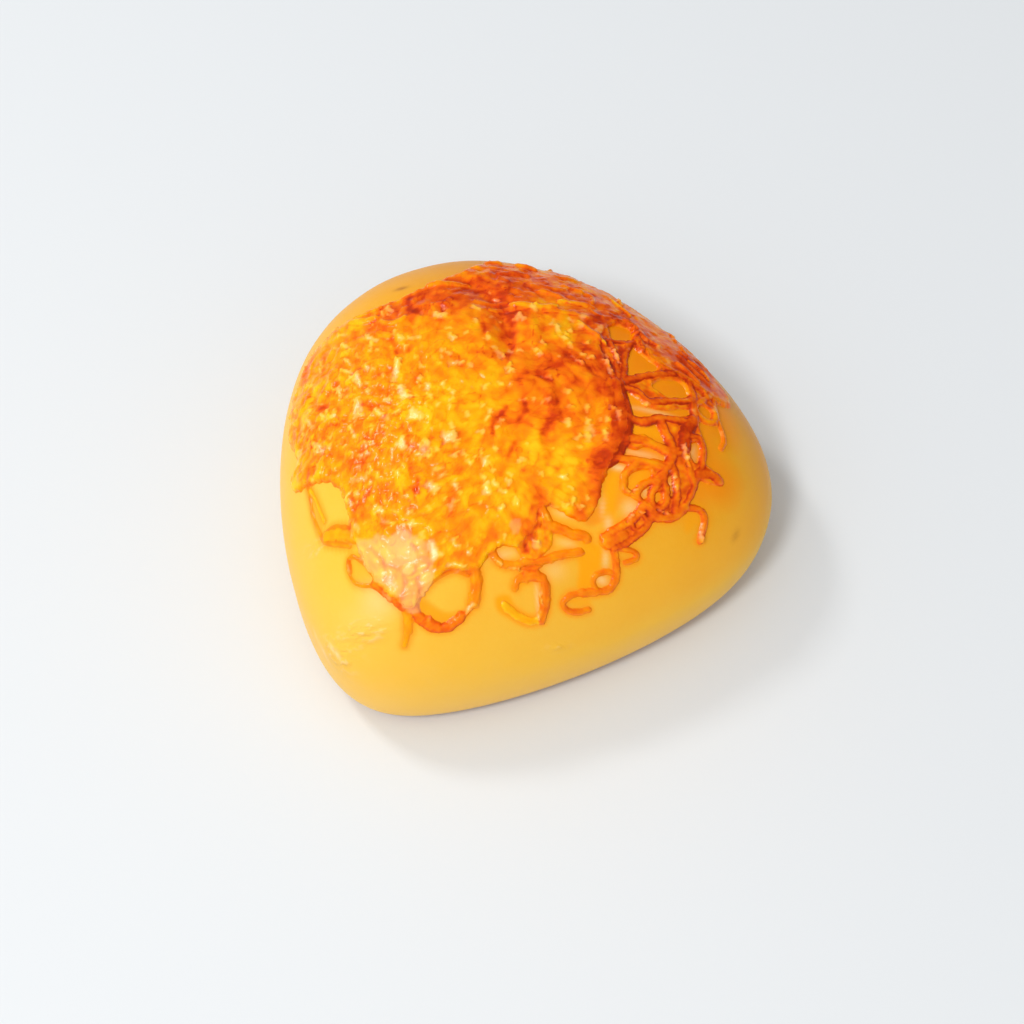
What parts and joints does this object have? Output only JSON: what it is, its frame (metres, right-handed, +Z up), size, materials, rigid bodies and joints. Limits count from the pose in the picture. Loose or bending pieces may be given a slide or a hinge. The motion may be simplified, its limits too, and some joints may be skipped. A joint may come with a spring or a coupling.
{
  "type": "tuna cheese bun",
  "caption": "Rounded three-cornered bread bun with a glossy golden crust and a browned, lacy melted cheese topping, flat underneath.",
  "frame": {"origin": "middle of the flat base, under the centre of the bounding box", "axes": "+Z up out of the flat base; the rounded pointed end lies towards +X, the narrow front corner towards -X and -Y, and the broad back towards +Y"},
  "size_m": [0.1124, 0.114, 0.0542],
  "materials": {
    "crust": "smooth golden baked bread crust with a soft gloss",
    "browned_cheese": "melted and browned cheese, oily and glossy"
  },
  "bodies": {
    "root": {"bun": "crust", "cheese_topping": "browned_cheese"}
  },
  "joints": []
}
